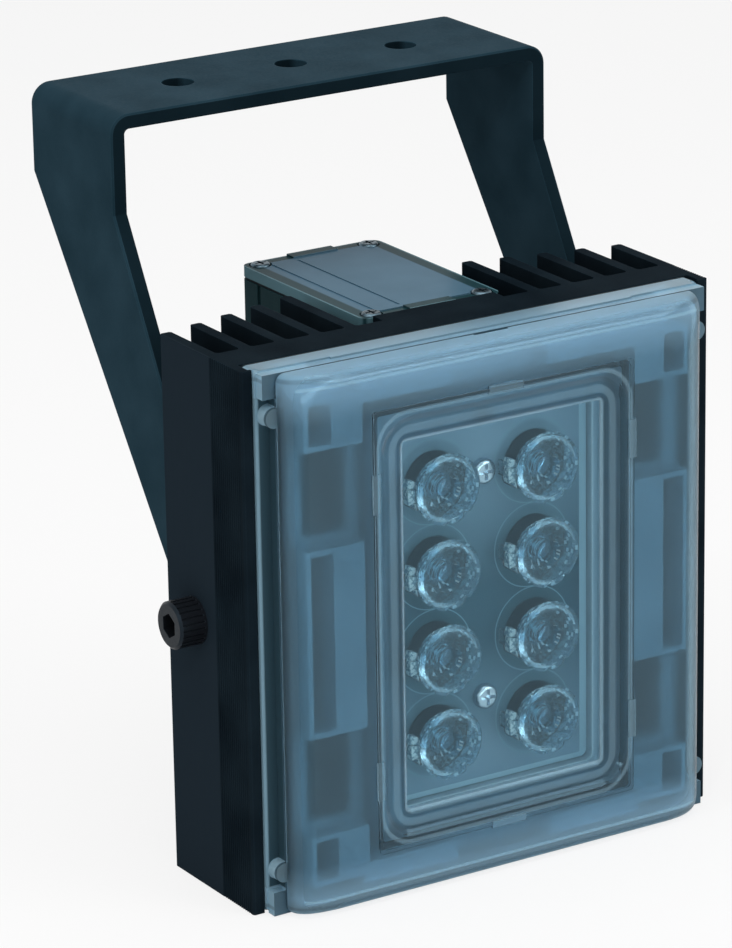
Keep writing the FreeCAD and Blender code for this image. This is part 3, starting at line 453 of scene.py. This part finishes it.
shape = bmesh.new()
holder_ring(shape, inner=3.7, outer=8.6, front=foot_front, rear=foot_front + 1.0, start=0, end=360,
            steps=48)
for start in (24, 196):
    holder_ring(shape, inner=9.22, outer=10.1, front=optic_front_y + 1.6, rear=foot_front + 0.3,
                start=start, end=start + leg_width, steps=4)
    holder_ring(shape, inner=8.3, outer=10.1, front=foot_front, rear=foot_front + 0.8,
                start=start, end=start + leg_width, steps=4)
for start, end, sunk in ((160, 172, 2.4), (173, 183, 1.7), (184, 194, 2.1)):
    holder_ring(shape, inner=9.3, outer=11.6, front=optic_front_y + sunk, rear=optic_front_y + sunk + 2.2,
                start=start, end=end, steps=4)
holder_ring(shape, inner=10.0, outer=10.8, front=optic_front_y + 3.5, rear=foot_front + 0.9, start=168,
            end=190, steps=6)
bmesh.ops.recalc_face_normals(shape, faces=shape.faces)
holder_mesh = bpy.data.meshes.new("optic holder")
shape.to_mesh(holder_mesh)
shape.free()
tab_side = (-0.0094, -0.0088)
tab_rear = (-0.0203, -0.0198)
satin, tree, shader = new_finish("clear acrylic from the mould", 0.1)
shader.inputs["IOR"].default_value = clear_ior
tab = joined(tree, "MULTIPLY", ranged(tree, along(tree, "X"), 1.0, 0.0, *tab_side),
             ranged(tree, along(tree, "Y"), 1.0, 0.0, *tab_rear))
stipple = speckle(tree, 1100.0, detail=2.0)
mottled = two_tone(tree, ranged(tree, stipple, 0.0, 1.0, 0.44, 0.54), (0.25, 0.42, 0.52), (0.78, 0.95, 1.0))
tree.links.new(two_tone(tree, tab, (0.94, 0.98, 1.0), mottled), shader.inputs["Base Color"])
tree.links.new(ranged(tree, tab, 1.0, 0.3, 0.0, 1.0), shader.inputs["Transmission Weight"])
relief(tree, shader, stipple, 0.0002)
holder_mesh.materials.append(satin)
for n in numbers:
    low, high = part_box("optic_%d" % n)
    holder = bpy.data.objects.new("holder_%d" % n, holder_mesh)
    holder.location = ((low[0] + high[0]) / 2, 0, high[2] - rim_radius)
    bpy.context.scene.collection.objects.link(holder)
    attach(holder, "lamp")
    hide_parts("optic_holder_%d" % n)

# Small screws: plated steel with a cross recess, two bright ones through the lamp board into its seat
# and four dull ones in each end cap.
zinc, shader = flecked("zinc-plated steel", (0.45, 0.52, 0.58), (0.62, 0.68, 0.74), fleck=900.0,
                       roughness=0.25, bumps=1500.0, depth=0.00002)
shader.inputs["Metallic"].default_value = 1.0
dress(zinc, "bright_steel", "board_screw_1", "board_screw_2")
dull, shader = flecked("dull plated steel", (0.05, 0.08, 0.10), (0.12, 0.18, 0.22), fleck=900.0,
                       roughness=0.35, bumps=1500.0, depth=0.00002)
shader.inputs["Metallic"].default_value = 1.0
for end in ("top", "bottom"):
    dress(dull, "bright_steel", *["%s_cap_screw_%d" % (end, n) for n in (1, 2, 3, 4)])

# Tray: one pale moulding that lies in the heat sink round the board, with raised blocks and open
# recesses. It is seen through the cover, and its edges are painted brighter than its flats, as a highlight.
pale, tree, shader = new_finish("pale grey moulding", 0.5)
moulding = two_tone(tree, ranged(tree, speckle(tree, 50.0), 0.0, 1.0), (0.42, 0.54, 0.62), (0.5, 0.62, 0.7))
painted_edge_highlight = two_tone(tree, highlight_edge_mask(tree, 0.0014), moulding, (0.90, 0.97, 1.0))
tree.links.new(painted_edge_highlight, shader.inputs["Base Color"])
relief(tree, shader, speckle(tree, 900.0), 0.00003)
dress(pale, "tray_plastic", "tray")

# Seals: moulded black rubber, pressed between cover and heat sink, under the end caps and round the
# cable's way through the gland.
rubber = flecked("black rubber", (0.005, 0.009, 0.012), (0.009, 0.016, 0.021), fleck=700.0,
                 roughness=0.6, bumps=1500.0, depth=0.00003, specular=0.1, tint=gloss_tint)[0]
dress(rubber, "seal", "cover_seal", "top_end_seal", "bottom_end_seal", "gland_ring")

# Front cover: one translucent polycarbonate moulding, frosted all over, with a polished window
# that is stepped back into the face. Its flange lies in grooves of the heat sink's side walls.
# Each pair of places is where a change of the surface starts and ends.
window_half = 0.031
window_half_high = 0.0512
face_rear = (-0.0272, -0.0269)
front_highlight_rear = (-0.02950, -0.02942)
flange_front = (-0.0220, -0.0218)
groove_front = (-0.0222, -0.0220)
groove_rear = (-0.0214, -0.0212)
end_face = (0.0674, 0.0678)
block_side = (0.0541, 0.0545)
block_end = (0.0746, 0.0749)
end_rounding = (0.0725, 0.0742)
lug_x = 0.0660
lug_height = 0.0627
lug_edge = (0.0028, 0.0030)
lug_front = (-0.0226, -0.0224)
outer_highlight_x = 0.0692
end_highlight_height = 0.0706
end_shade_height = 0.0727
frosted, tree, shader = new_finish("frosted polycarbonate", 0.2, 0.1, gloss_tint)
shader.inputs["IOR"].default_value = 1.5
depth = along(tree, "Y")
aside = step_from(tree, along(tree, "X"), ("ABSOLUTE", None))
height = away_from(tree, along(tree, "Z"), middle_z)
frost = outside_frame(tree, 0.0312, 0.0514, 0.0015, 0.0002)
front_face = ranged(tree, depth, 1.0, 0.0, *face_rear)
flange = ranged(tree, depth, 0.0, 1.0, *flange_front)


def band(first, second, corner, strength):
    # A line round the window, between two distances from the edge of the pane, for painted highlights and
    # shade.
    inner, outer = [outside_frame(tree, window_half + away, window_half_high + away, corner + away, 0.00015)
                    for away in (first, second)]
    return step_from(tree, joined(tree, "SUBTRACT", inner, outer), ("MULTIPLY", strength))


# Painted highlights: light steps of the window, foremost faces, end faces with their blocks, lugs,
# roundings.
highlight_steps = joined(tree, "MAXIMUM", band(0.0, 0.0008, 0.001, 0.7), band(0.0026, 0.0046, 0.002, 0.3),
                     band(0.0080, 0.0092, 0.001, 0.45))
front_highlight = ranged(tree, depth, 0.35, 0.0, *front_highlight_rear)
end_faces = joined(tree, "MULTIPLY", flange, ranged(tree, height, 0.0, 0.75, *end_face))
blocks = joined(tree, "MULTIPLY", end_faces, ranged(tree, aside, 0.0, 1.0, *block_side),
                ranged(tree, height, 1.0, 0.0, *block_end))
from_lug = distance(tree, step_from(tree, aside, ("SUBTRACT", lug_x)),
                    step_from(tree, height, ("SUBTRACT", lug_height)))
lug = joined(tree, "MULTIPLY", ranged(tree, from_lug, 1.0, 0.0, *lug_edge),
             ranged(tree, depth, 0.0, 1.0, *lug_front))
outer_highlight = joined(tree, "MULTIPLY", flange, line_at(tree, aside, outer_highlight_x, 0.55, 0.0004, 0.0009))
end_highlight = joined(tree, "MULTIPLY", line_at(tree, height, end_highlight_height, 0.9, 0.0003, 0.0008), front_face)
rounding_highlight = joined(tree, "MULTIPLY", ranged(tree, height, 0.0, 0.8, *end_rounding), frost)
light = joined(tree, "MAXIMUM", joined(tree, "MULTIPLY", highlight_steps, front_face), front_highlight, blocks,
               step_from(tree, end_faces, ("MULTIPLY", 0.8)), step_from(tree, lug, ("MULTIPLY", 0.4)),
               outer_highlight, end_highlight, rounding_highlight)

# Painted shade: dark lines between the light steps, in the parting groove and along the ends.
shade_steps = joined(tree, "MAXIMUM", band(0.0010, 0.0022, 0.001, 0.8), band(0.0050, 0.0072, 0.003, 0.4))
groove_shade = joined(tree, "MULTIPLY", ranged(tree, depth, 0.0, 1.0, *groove_front),
                ranged(tree, depth, 1.0, 0.0, *groove_rear))
end_shade = joined(tree, "MULTIPLY", line_at(tree, height, end_shade_height, 0.5, 0.0003, 0.0007), frost)
dark = joined(tree, "MAXIMUM", joined(tree, "MULTIPLY", shade_steps, front_face), groove_shade, end_shade)

# The frost turns milkier towards the ends and is painted paler there, as light on the roundings.
# Between the end faces, the flange shows the dark sink below.
milky_and_lit_ends = ranged(tree, height, 0.0, 0.6, 0.0605, 0.070)
strip = joined(tree, "MULTIPLY", flange, ranged(tree, height, 1.0, 0.0, *end_face))
cloud = ranged(tree, speckle(tree, 45.0), 0.0, 1.0)
milky = two_tone(tree, cloud, (0.31, 0.485, 0.59), (0.35, 0.535, 0.645))
body = two_tone(tree, frost, (0.74, 0.90, 0.96), milky)
# Laid over the frost: the paler ends, the dark strip, painted highlights, the lugs and painted shade.
for area, shade in ((milky_and_lit_ends, (0.42, 0.68, 0.88)), (strip, (0.035, 0.075, 0.10)), (light, (0.44, 0.71, 0.88)),
                    (lug, (0.36, 0.56, 0.68)), (dark, (0.10, 0.18, 0.24))):
    body = two_tone(tree, area, body, shade)
tree.links.new(body, shader.inputs["Base Color"])
veils = [step_from(tree, area, ("MULTIPLY", share))
         for area, share in ((light, 0.35), (milky_and_lit_ends, 0.35), (strip, 0.6), (blocks, 0.6))]
clear = joined(tree, "SUBTRACT", ranged(tree, frost, 1.0, 0.95, 0.0, 1.0), joined(tree, "MAXIMUM", *veils))
tree.links.new(clear, shader.inputs["Transmission Weight"])
rough = joined(tree, "MULTIPLY", frost, ranged(tree, front_face, 0.45, 0.08, 0.0, 1.0),
               ranged(tree, flange, 1.0, 0.7, 0.0, 1.0))
tree.links.new(rough, shader.inputs["Roughness"])
relief(tree, shader, speckle(tree, 1200.0), 0.000002)
dress(frosted, "cover_plastic", "front_cover")

# Driver housing: black anodised aluminium extrusion behind the heat sink, with card slots inside and
# open at both ends. It is fixed to the pad on the heat sink's base.
housing_black = metal_grain("black anodised housing", (0.010, 0.029, 0.034), (0.016, 0.043, 0.050),
                            roughness=0.5, specular=0.02, depth=0.00002, edge=0.0003,
                            stretch=die_lines)[0]
dress(housing_black, "housing_black", "driver_housing")

# Driver board: card with its large components, slid into the slots of the housing. It has the same
# solder resist as the lamp board.
dress(board_finish, "board", "driver_board")

# End caps: clear polycarbonate lids with a raised panel, one on each end of the housing, held by four
# screws. The panel looks paler than its border, and a light line runs round the outer edge.
panel_border = 0.0042
panel_edge = (0.0, 0.0006)
lid, tree, shader = new_finish("clear polycarbonate lid", 0.2, 0.012, gloss_tint)
shader.inputs["Transmission Weight"].default_value = 0.2
shader.inputs["IOR"].default_value = 1.3
low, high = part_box("top_end_cap")
panel_half = (high[0] - low[0]) / 2 - panel_border
panel_half_deep = (high[1] - low[1]) / 2 - panel_border
lid_middle = (high[1] + low[1]) / 2
from_side = step_from(tree, along(tree, "X"), ("ABSOLUTE", None), ("SUBTRACT", panel_half))
from_rear = step_from(tree, away_from(tree, along(tree, "Y"), lid_middle), ("SUBTRACT", panel_half_deep))
from_panel = joined(tree, "MAXIMUM", from_side, from_rear)
panel = ranged(tree, from_panel, 1.0, 0.0, *panel_edge)
edge_line = line_at(tree, from_panel, panel_border, 0.7, 0.0003, 0.0007)
tinted = two_tone(tree, speckle(tree, 60.0), (0.070, 0.150, 0.215), (0.105, 0.21, 0.30))
shade = two_tone(tree, panel, (0.018, 0.055, 0.066), tinted)
tree.links.new(two_tone(tree, edge_line, shade, (0.16, 0.32, 0.38)), shader.inputs["Base Color"])
relief(tree, shader, speckle(tree, 900.0), 0.00003)
dress(lid, "clear_plastic", "top_end_cap", "bottom_end_cap")

# Cable gland: moulded black nylon body, locknut and dome nut, screwed into the housing's rear wall.
# The friction washers between the bracket's arms and the side walls are of the same nylon.
nylon = flecked("black nylon", (0.006, 0.010, 0.013), (0.010, 0.016, 0.021), fleck=500.0,
                roughness=0.45, bumps=1200.0, depth=0.00003, specular=0.2, tint=gloss_tint,
                edge=0.0003)[0]
dress(nylon, "black_nylon", "gland_body", "gland_locknut", "gland_dome")
dress(nylon, "black_nylon", "friction_washer_left", "friction_washer_right")

# Bracket: one strip of 4 mm steel sheet, laser cut, folded twice and powder coated in fine black.
# The cut edges that face the front are painted darker, as shade.
powder, tree, colour = metal_grain("fine black powder coat", (0.012, 0.032, 0.046), (0.020, 0.047, 0.066),
                                   roughness=0.5, specular=0.006, depth=0.00003, edge=0.0006)
facing = tree.nodes.new("ShaderNodeSeparateXYZ")
tree.links.new(tree.nodes.new("ShaderNodeTexCoord").outputs["Normal"], facing.inputs["Vector"])
front_cut_shade = ranged(tree, facing.outputs["Y"], 0.8, 0.0, -0.9, -0.6)
laid_over(tree, colour, front_cut_shade, (0.002, 0.005, 0.007))
dress(powder, "bracket_black", "bracket")

# Pivot screws: blackened steel socket screws with knurled heads, one through each arm of the bracket
# into the side wall.
blackened = metal_grain("blackened steel", (0.005, 0.0058, 0.0075), (0.009, 0.0105, 0.0135),
                        roughness=0.35, specular=0.2, depth=0.00002, edge=0.0002)[0]
dress(blackened, "black_steel", "pivot_screw_left", "pivot_screw_right")

# Studio: white paper floor that keeps a faint shadow of the lamp, and white surroundings. Soft boxes
# stand above and in front, weaker ones at the side and low in front, and a small bright one on the left.
floor_half = 6.0
floor_drop = 0.0002
floor_mesh = bpy.data.meshes.new("floor")
corners = [(x, y, 0) for x, y in ((-floor_half, -floor_half), (floor_half, -floor_half),
                                  (floor_half, floor_half), (-floor_half, floor_half))]
floor_mesh.from_pydata(corners, [], [(0, 1, 2, 3)])
floor = bpy.data.objects.new("floor", floor_mesh)
floor.location.z = -floor_drop
bpy.context.scene.collection.objects.link(floor)
paper, tree, shader = new_finish("white paper floor", 0.8, 0.2)
shader.inputs["Base Color"].default_value = (0.9, 0.9, 0.9, 1.0)
glow = tree.nodes.new("ShaderNodeEmission")
glow.inputs["Strength"].default_value = 1.0
path = tree.nodes.new("ShaderNodeLightPath")
seen = ranged(tree, path.outputs["Is Camera Ray"], 0.0, 0.8, 0.0, 1.0)
blend = tree.nodes.new("ShaderNodeMixShader")
tree.links.new(seen, blend.inputs["Fac"])
tree.links.new(shader.outputs["BSDF"], blend.inputs[1])
tree.links.new(glow.outputs["Emission"], blend.inputs[2])
tree.links.new(blend.outputs["Shader"], tree.nodes["Material Output"].inputs["Surface"])
floor_mesh.materials.append(paper)

# The surroundings are bright where they are seen, mirrored or looked at through the plastics.
world = bpy.data.worlds.new("white studio")
bpy.context.scene.world = world
world.use_nodes = True
tree = world.node_tree
background = tree.nodes["Background"]
background.inputs["Color"].default_value = (1.0, 1.0, 1.0, 1.0)
path = tree.nodes.new("ShaderNodeLightPath")
seen = joined(tree, "MAXIMUM", path.outputs["Is Camera Ray"], path.outputs["Is Glossy Ray"],
              path.outputs["Is Transmission Ray"])
tree.links.new(ranged(tree, seen, 0.4, 1.0, 0.0, 1.0), background.inputs["Strength"])


def soft_box(name, place, target, width, height, power):
    lamp = bpy.data.lights.new(name, "AREA")
    lamp.shape = "RECTANGLE"
    lamp.size = width
    lamp.size_y = height
    lamp.energy = power
    stand = bpy.data.objects.new(name, lamp)
    stand.location = place
    aim = Vector(target) - Vector(place)
    stand.rotation_euler = aim.to_track_quat("-Z", "Y").to_euler()
    bpy.context.scene.collection.objects.link(stand)


soft_box("top soft box", (-0.1, -0.1, 1.3), (0, 0, 0.1), 1.2, 1.0, 8.0)
soft_box("front soft box", (0.9, -1.3, 0.7), (0, 0, 0.08), 0.9, 0.9, 8.0)
soft_box("side soft box", (-1.4, -0.2, 0.5), (0, 0, 0.08), 0.6, 1.0, 2.5)
soft_box("low soft box", (0.1, -1.3, 0.12), (0, 0, 0.05), 1.0, 0.2, 3.0)
soft_box("bright spot", (-0.9, -0.9, 1.3), (0, 0, 0.08), 0.12, 0.12, 3.0)

# Camera: a long lens, above and to the left of the lamp, turned, leant and rolled as in the picture
# that is followed.
camera_place = (-0.67758, -1.04858, 0.52651)
turn_angle = -32.1473
down_angle = 19.2904
roll_angle = -0.8788
lens = bpy.data.cameras.new("camera")
lens.lens = 187.6
lens.sensor_width = 36.0
lens.shift_x = -0.0228
lens.shift_y = 0.0543
lens.clip_end = 50.0
camera = bpy.data.objects.new("camera", lens)
turn = Matrix.Rotation(math.radians(turn_angle), 4, "Z")
lean = Matrix.Rotation(math.radians(90 - down_angle), 4, "X")
roll = Matrix.Rotation(math.radians(roll_angle), 4, "Z")
camera.matrix_world = Matrix.Translation(camera_place) @ turn @ lean @ roll
bpy.context.scene.collection.objects.link(camera)
bpy.context.scene.camera = camera
bpy.context.scene.view_settings.view_transform = "Standard"
